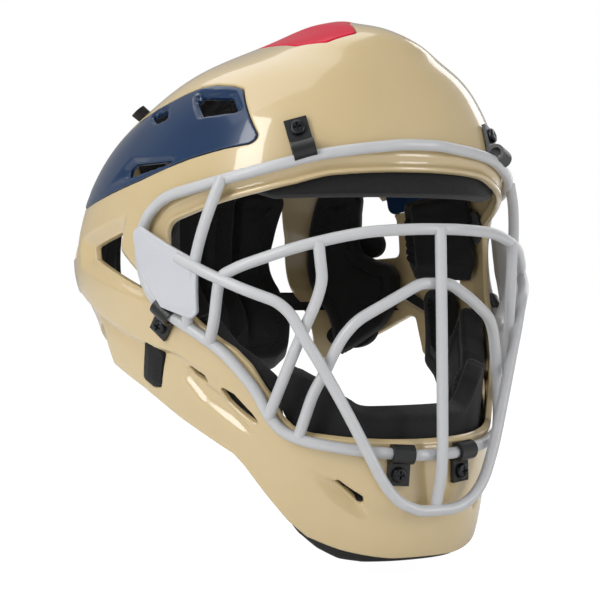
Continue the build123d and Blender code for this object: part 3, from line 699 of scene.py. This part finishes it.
# %% [markdown]
# The relief is told by how deep the wall is pressed in. The ear vent and the chin vent sit in
# dishes that slope down to the hole. Below the crease the jaw steps in and swells out again
# further down. The brow has a groove and then a raised lip along the edge of the face opening.

# %% Shell mesh
SHELL_WALL = 4.0
EAR_DEEP, CHIN_DEEP, CHANNEL_DEEP = 6.0, 3.6, 2.6
CREASE_DEEP, CREASE_STEP, CREASE_SWELL, CREASE_CORNER = 4.2, 4.0, 16, 6.0
CHANNEL_STEP, CHANNEL_CORNER = 5.0, 3.0
BROW_GROOVE, BROW_LIP = 2.6, 1.8


def dish(outer, inner, deep):
    """A dish whose wall slopes from an outer outline down to an inner one."""
    from_rim = np.clip(side_inside(POINTS, rounded(outer, SLOT_CORNER)), 0, None)
    to_hole = np.clip(-side_inside(POINTS, rounded(inner, SLIT_CORNER)), 0, None)
    return deep * from_rim / np.maximum(from_rim + to_hole, 1e-6)


shell_depth = dish(EAR_RECESS, EAR_VENT, EAR_DEEP)
crease = side_inside(POINTS, rounded(BELOW_CREASE, CREASE_CORNER))
crease_fade = ramp(POINTS[:, 1], -75, -20)
swell = np.exp(-np.clip(crease, 0, None) / CREASE_SWELL)
shell_depth += CREASE_DEEP * crease_fade * ramp(crease, 0, CREASE_STEP) * swell
channel = side_inside(POINTS, rounded(CHEEK_CHANNEL, CHANNEL_CORNER))
shell_depth += CHANNEL_DEEP * ramp(channel, 0, CHANNEL_STEP)
shell_depth += dish(CHIN_RECESS, CHIN_VENT, CHIN_DEEP)
brow = side_inside(POINTS, rounded(FACE_OPENING, WIDE_CORNER))
brow_part = ramp(POINTS[:, 2], 20, 34) * ramp(-POINTS[:, 1], 30, 50)
groove, lip = ramp(brow, -7.5, -6.0), ramp(brow, -3.5, -2.0)
shell_depth += brow_part * (BROW_GROOVE * groove - BROW_LIP * lip)
shell_mesh = wall_mesh("helmet_shell", shell_keep, shell_depth, SHELL_WALL)
add_piece(shell_mesh, "helmet", ["shell"], GOLD)

# %% [markdown]
# The vent panels snap into the shell from outside, flush with it, and a fine line shows where
# they meet. Each is its own moulding in its own colour, with scoops that lead air inward.

# %% Vent panels
FRONT_SCOOP = [(-30, 101.5), (-62, 99.5), (-74, 87.5), (-47, 85)]
REAR_SCOOP = [(7, 91), (-11, 94), (-21, 85.5), (-7, 83.5)]
LOW_SCOOP = [(-38, 63.5), (-36, 60), (30, 46.5), (22, 51.5), (4.6, 65)]
FRONT_THROAT = [(-33, 99.5), (-61, 97.8), (-69, 89.2), (-47.5, 87.5)]
REAR_THROAT = [(6, 90.2), (-11, 93), (-19.5, 86), (-7, 84.6)]
LOW_THROAT = [(-35, 62.3), (-33, 60.3), (4, 53.8), (9, 57.5), (2, 62)]
SCOOPS = (
    (FRONT_SCOOP, FRONT_THROAT, 3.6), (REAR_SCOOP, REAR_THROAT, 3.2), (LOW_SCOOP, LOW_THROAT, 3.4),
)
SEAM = 0.3
PANEL_WALL, PANEL_ROUND = 3.0, 0.8
THROAT_CORNER = 1.5
scoop_depth = np.max([dish(*scoop) for scoop in SCOOPS], axis=0)
throat_outlines = [rounded(throat, THROAT_CORNER) for _, throat, _ in SCOOPS]
throats = np.max([side_inside(POINTS, outline) for outline in throat_outlines], axis=0)
for side, word in ((-1, "right"), (1, "left")):
    panel_keep = np.minimum(side_inside(POINTS, rounded(SIDE_PANEL), side) - SEAM, -throats)
    panel_mesh = wall_mesh(
        "vent_panel_" + word, panel_keep, scoop_depth, PANEL_WALL, outer_round=PANEL_ROUND,
    )
    add_piece(panel_mesh, "helmet", ["side_vent_panel_" + word], NAVY)

CREST_SLOT = [(7.4, -23.6), (14.8, -10.5), (16, 12.8), (9.8, 21.8), (6.8, 2.6)]
crest_keep = top_inside(POINTS, rounded(CREST_PANEL)) - SEAM
mirrored = POINTS * [-1, 1, 1]
for seen in (POINTS, mirrored):
    crest_keep = np.minimum(crest_keep, -top_inside(seen, rounded(CREST_SLOT, THROAT_CORNER)))
crest_mesh = wall_mesh("crown_panel", crest_keep, 0.0, SHELL_WALL)
add_piece(crest_mesh, "helmet", ["crown_vent_panel"], RED)

# %% [markdown]
# The white side plates are mouldings that clip over the frame wire, so the wire runs behind
# them. Each is a flat-faced plate with a rounded rim, raised in the middle.

# %% Side plates
SIDE_PLATE = [
    (-23.5, 21), (-29, 23.5), (-63.5, 5.6), (-62, -21), (-58.5, -24.5), (-41, -18.5), (-30, -2),
    (-26.5, 8),
]
PLATE_LIFT, PLATE_RIM_DROP, PLATE_THICK, PLATE_CORNER = 12.6, 0.9, 3.4, 3.0
for side, word in ((-1, "right"), (1, "left")):
    plate_keep = side_inside(POINTS, rounded(SIDE_PLATE, PLATE_CORNER), side)
    raised = -PLATE_LIFT + PLATE_RIM_DROP * (1 - ramp(plate_keep, 2.6, 4.0))
    plate_mesh = wall_mesh("side_plate_moulding_" + word, plate_keep, raised, PLATE_THICK, outer_round=1.0)
    add_piece(plate_mesh, "helmet", ["side_plate_" + word], WHITE)

# %% [markdown]
# Each pad is cut foam in a sewn knit cover. The cover draws the edge in, so the face that meets
# the head is crowned and its corners are rounded off. A seam runs inside the edge: a narrow
# trough with a row of stitches in it, about 3 mm apart. The layers behind it stay in order:
# shell, hook-and-loop disc, pad.

# %% Pad builder
PAD_START = 7.0
CROWN_FROM, CROWN_TO = 4, 26
SEAM_INSET, SEAM_DEEP, SEAM_WIDTH = 9.0, 0.9, 1.3
STITCH_PITCH, STITCH_LENGTH, STITCH_RADIUS, STITCH_SIDES = 3.4, 2.4, 0.3, 6
STITCH_RINGS = ((-0.5, 0.35), (-0.3, 1.0), (0.3, 1.0), (0.5, 0.35))
THREAD_LIFT = 0.05
SHORTEST_LOOP = 20
THREAD = coated("black_thread", "#121214", "#1A1A1D", 0.6, 0.3, 0.02)


def rim_loops(faces, count):
    """The open edges of a cut net, followed into closed loops of point numbers."""
    following = dict(open_edges(faces, count).tolist())
    loops = []
    while following:
        start, at = following.popitem()
        loop = [start]
        while at in following:
            loop.append(at)
            at = following.pop(at)
        if len(loop) > SHORTEST_LOOP:
            loops.append(np.array(loop))
    return loops


def spaced(line, pitch):
    """Places along a closed line at an even pitch, with the direction at each."""
    closed = np.concatenate([line, line[:1]])
    walked = np.concatenate([[0], np.cumsum(np.linalg.norm(np.diff(closed, axis=0), axis=1))])
    number = max(int(walked[-1] / pitch), 3)
    at = np.linspace(0, walked[-1], number, endpoint=False)
    places = np.stack([np.interp(at, walked, closed[:, k]) for k in range(3)], -1)
    along = np.roll(places, -1, axis=0) - np.roll(places, 1, axis=0)
    return places, along / np.maximum(np.linalg.norm(along, axis=1), 1e-6)[:, None]


def stitch_mesh(name, places, along):
    """A short round-ended thread at each place, laid along the seam."""
    corners, polygons = [], []
    sides, last = STITCH_SIDES, len(STITCH_RINGS) - 1
    for place, direction in zip(places, along):
        first = np.cross(direction, [0.3, 0.5, 0.8])
        first /= np.linalg.norm(first)
        second = np.cross(direction, first)
        base = len(corners)
        for shift, size in STITCH_RINGS:
            centre = place + direction * shift * STITCH_LENGTH
            for k in range(sides):
                angle = 2 * math.pi * k / sides
                spoke = first * math.cos(angle) + second * math.sin(angle)
                corners.append(centre + spoke * size * STITCH_RADIUS)
        for ring in range(last):
            for k in range(sides):
                a, b = base + ring * sides + k, base + ring * sides + (k + 1) % sides
                polygons.append((a, b, b + sides, a + sides))
        polygons.append(tuple(base + k for k in reversed(range(sides))))
        polygons.append(tuple(base + last * sides + k for k in range(sides)))
    return smooth_mesh(name, corners, polygons)


def soft_pad(name, body, node, keep, thick, crown=0.22, trough=0.0, lean=0.0, inner_round=3.5):
    """A crowned pad with its stitched seam. Trough is how much thinner it is at each point."""
    into = true_distance(keep, slope_on_net(keep))
    swell = 1 - crown * (1 - ramp(into, CROWN_FROM, CROWN_TO))
    sunk = SEAM_DEEP * np.exp(-((into - SEAM_INSET) / SEAM_WIDTH) ** 2)
    depth = thick * swell - sunk - trough
    mesh = wall_mesh(name, keep, PAD_START, depth, outer_round=2.0, inner_round=inner_round, lean=lean)
    pad = add_piece(mesh, body, [node], KNIT)
    faces, cut = cut_net(keep, into - SEAM_INSET)
    skin = read_at(POINTS, cut)
    seam = at_depth(skin, PAD_START + read_at(depth, cut) + THREAD_LIFT) + [0.0, lean, 0.0]
    places, along = [], []
    for loop in rim_loops(faces, len(skin)):
        found = spaced(seam[loop], STITCH_PITCH)
        places.append(found[0])
        along.append(found[1])
    if places:
        thread = stitch_mesh(name + "_stitches", np.concatenate(places), np.concatenate(along))
        add_piece(thread, body, [], THREAD)


print("thread", THREAD.name, "one stitch every", STITCH_PITCH, "mm")

# %% [markdown]
# Pads follow a form that narrows inward, so most outlines are read half way through the pad's
# thickness. The crown pad's is read on the outer form, and the temple pads' along their lean.
# The forehead pad has a second seam across it, and the crown pad has two channels for air.

# %% Pads
FOREHEAD_PAD = [(-170, 44), (-170, 91), (-66, 91), (-54, 72), (-58, 50), (-84, 40)]
CROWN_PAD = [(-80, 95), (44, 95), (30, 150), (-66, 150)]
TEMPLE_PAD = [(-39, 50), (-20, 52), (-15, 30), (-20, 2), (-36, -8), (-46, 4), (-41, 16)]
REAR_PAD = [
    (150, 50), (64, 50), (71, 35), (77, 17), (76, 10), (66, 5), (56, 3), (50, -4), (47, -24),
    (49, -36), (63, -52), (80, -58), (100, -62), (150, -62),
]
JAW_PAD = [
    (14, -13), (4, -40), (-2, -60), (-17, -67), (-34, -79), (-60, -93), (-74, -96), (-80, -90),
    (-80, -60), (-71, -49), (-61, -41), (-52, -28), (-47, -22), (-42, -30), (-34, -42), (-27, -42),
    (-16, -28), (-7, -13),
]
CHIN_PAD = [
    (-170, -74), (-109, -74), (-104, -68), (-98, -60), (-91, -54), (-85, -51), (-82.5, -56),
    (-82.5, -72), (-87, -88), (-94, -102), (-104, -116), (-170, -116),
]
FOREHEAD_THICK, CROWN_THICK, CHIN_THICK, REAR_THICK, JAW_THICK = 13.0, 13.0, 17.0, 12.0, 18.0
TEMPLE_THICK, TEMPLE_LEAN, TEMPLE_LEAN_SHARE = 29.0, 26.0, 0.9
BROW_SEAM_LEVEL, BROW_SEAM_DEEP, BROW_SEAM_WIDTH = 55, 1.6, 2.0
CROWN_HALF_WIDTH, CHANNEL_AT, CHANNEL_HALF_WIDTH, CHANNEL_REACH = 60.0, 24.0, 4.0, 32.0
REAR_INNER_EDGE, CHIN_HALF_WIDTH = 71.0, 92.0


def pad_middle(thick):
    """The net moved in to half way through a pad of this thickness."""
    return at_depth(POINTS, PAD_START + thick / 2)


brow_seam = BROW_SEAM_DEEP * np.exp(-((POINTS[:, 2] - BROW_SEAM_LEVEL) / BROW_SEAM_WIDTH) ** 2)
forehead_keep = side_inside(pad_middle(FOREHEAD_THICK), rounded(FOREHEAD_PAD))
soft_pad("forehead_pad_cover", "helmet", "forehead_pad", forehead_keep, FOREHEAD_THICK, trough=brow_seam)

channel_gap = np.minimum(
    CHANNEL_HALF_WIDTH - np.abs(side_way - CHANNEL_AT), CHANNEL_REACH - np.abs(POINTS[:, 1]),
)
crown_keep = np.minimum(side_inside(POINTS, rounded(CROWN_PAD)), CROWN_HALF_WIDTH - side_way)
soft_pad("crown_pad_cover", "helmet", "crown_pad", np.minimum(crown_keep, -channel_gap), CROWN_THICK)

middle = pad_middle(CHIN_THICK)
chin_keep = np.minimum(side_inside(middle, rounded(CHIN_PAD)), CHIN_HALF_WIDTH - np.abs(middle[:, 0]))
soft_pad("chin_pad_cover", "helmet", "chin_pad", chin_keep, CHIN_THICK, crown=0.35)

slide = TEMPLE_LEAN / TEMPLE_THICK * (HALF_WIDTH - side_way)
leaned = POINTS - np.stack([0 * slide, slide, 0 * slide], -1)
for side, word in ((-1, "right"), (1, "left")):
    temple_keep = side_inside(leaned, rounded(TEMPLE_PAD), side)
    soft_pad("temple_pad_cover_" + word, "helmet", "temple_pad_" + word, temple_keep, TEMPLE_THICK,
             crown=0.15, lean=TEMPLE_LEAN * TEMPLE_LEAN_SHARE)
    middle = pad_middle(REAR_THICK)
    rear_keep = np.minimum(
        side_inside(middle, rounded(REAR_PAD, PAD_CORNER), side), np.abs(middle[:, 0]) - REAR_INNER_EDGE,
    )
    soft_pad("rear_pad_cover_" + word, "helmet", "rear_pad_" + word, rear_keep, REAR_THICK)
    jaw_keep = side_inside(pad_middle(JAW_THICK), rounded(JAW_PAD, PAD_CORNER), side)
    soft_pad("jaw_pad_cover_" + word, "helmet", "jaw_pad_" + word, jaw_keep, JAW_THICK)

# %% [markdown]
# The skirt under the chin is a strip of denser foam with a smooth coating. It lies inside the
# shell, follows its edge and hangs a little below it.

# %% Chin skirt
CHIN_SKIRT = [
    (-66, -110), (-73, -119), (-84, -136), (-91, -149.5), (-98.5, -158.6), (-106, -164.6),
    (-114, -166.3), (-170, -166.3), (-170, -128), (-112, -128), (-96, -118), (-84, -108),
    (-72, -103),
]
LAYER_START = 4.3
SKIRT_THICK = 9.0
skirt_keep = side_inside(POINTS, rounded(CHIN_SKIRT))
skirt_mesh = wall_mesh(
    "chin_skirt_strip", skirt_keep, LAYER_START, SKIRT_THICK, outer_round=2.0, inner_round=3.5,
)
skirt = add_piece(skirt_mesh, "helmet", ["chin_skirt"], SKIN)

# %% [markdown]
# The back plate is a gold moulding like the shell. Four rivets hold it on two pairs of elastic
# straps, and it slides rearward on them against their pull. Each strap is one flat band, fixed
# at the shell and at the plate on the real helmet, so it stretches between the two. Here each
# band is built where it lies and is held by neither body.

# %% Back plate and straps
BACK_PLATE = [
    (34, 58), (40, 50), (40, 20), (31, -10), (34, -40), (30, -58), (22, -64), (-10, -64), (-10, 58),
]
BACK_PAD = [
    (44, 50), (47, 44), (44, 20), (41, 5), (42, -2), (45, -14), (43, -32), (40, -52), (32, -60),
    (-10, -60), (-10, 50),
]
UPPER_STRAP = [(86, 98), (66, 98), (26, 54), (26, 42), (36, 42), (88, 90)]
LOWER_STRAP = [
    (-26, -47), (-20, -66), (-8, -64), (6, -46), (44, -28), (150, -28), (150, -16), (42, -17),
    (4, -33), (-14, -42),
]
BACK_PAD_THICK, GROOVE_AT, GROOVE_DEEP, GROOVE_WIDTH = 26.0, 14, 5.0, 2.6
STRAP_THICK, STRAP_INNER_EDGE, STRAP_ROUND = 2.0, 24.6, 0.5
UPPER_FOLD_LIFT = 6.0
LOWER_FOLD_SUNK, LOWER_FOLD_SWELL, LOWER_FOLD_THICK = 1.0, 1.2, 3.0

plate_keep = rear_inside(POINTS, rounded(BACK_PLATE, PAD_CORNER))
plate_mesh = wall_mesh("back_plate_moulding", plate_keep, 0.0, SHELL_WALL)
add_piece(plate_mesh, "back_plate", ["back_plate"], GOLD)
middle = pad_middle(BACK_PAD_THICK)
groove = GROOVE_DEEP * np.exp(-((np.abs(middle[:, 0]) - GROOVE_AT) / GROOVE_WIDTH) ** 2)
back_keep = rear_inside(middle, rounded(BACK_PAD, PAD_CORNER))
soft_pad("back_plate_pad_cover", "back_plate", "back_plate_pad", back_keep, BACK_PAD_THICK,
         crown=0.14, trough=groove * ramp(middle[:, 2], -58, -40), inner_round=4.0)


def flat_band(name, body, keep, node, depth, thick):
    """A flat length of elastic strap."""
    mesh = wall_mesh(name, keep, depth, thick, outer_round=STRAP_ROUND, inner_round=STRAP_ROUND)
    return add_piece(mesh, body, [node], ELASTIC)


for side, word in ((-1, "right"), (1, "left")):
    on_side = np.where(POINTS[:, 0] * side > 0, FAR, -FAR)
    keep = np.minimum(rear_inside(POINTS, rounded(UPPER_STRAP)), on_side)
    band = flat_band("upper_strap_band_" + word, None, keep, "upper_strap_" + word, LAYER_START, STRAP_THICK)
    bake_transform(band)
    keep = np.minimum(side_inside(POINTS, rounded(LOWER_STRAP), side), side_way - STRAP_INNER_EDGE)
    band = flat_band("lower_strap_band_" + word, None, keep, "lower_strap_" + word, LAYER_START, STRAP_THICK)
    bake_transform(band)
    keep = side_inside(POINTS, rounded(STRAP_SLOT, STRAP_SLOT_CORNER), side) - SEAM
    flat_band("upper_strap_fold_" + word, "helmet", keep, "upper_strap_loop_" + word,
              -UPPER_FOLD_LIFT, UPPER_FOLD_LIFT + SHELL_WALL)
    keep = side_inside(POINTS, rounded(JAW_SLOT, SLOT_CORNER), side) - SEAM
    flat_band("lower_strap_fold_" + word, "helmet", keep, "lower_strap_loop_" + word,
              LOWER_FOLD_SUNK - LOWER_FOLD_SWELL * ramp(keep, 0, 6), LOWER_FOLD_THICK)
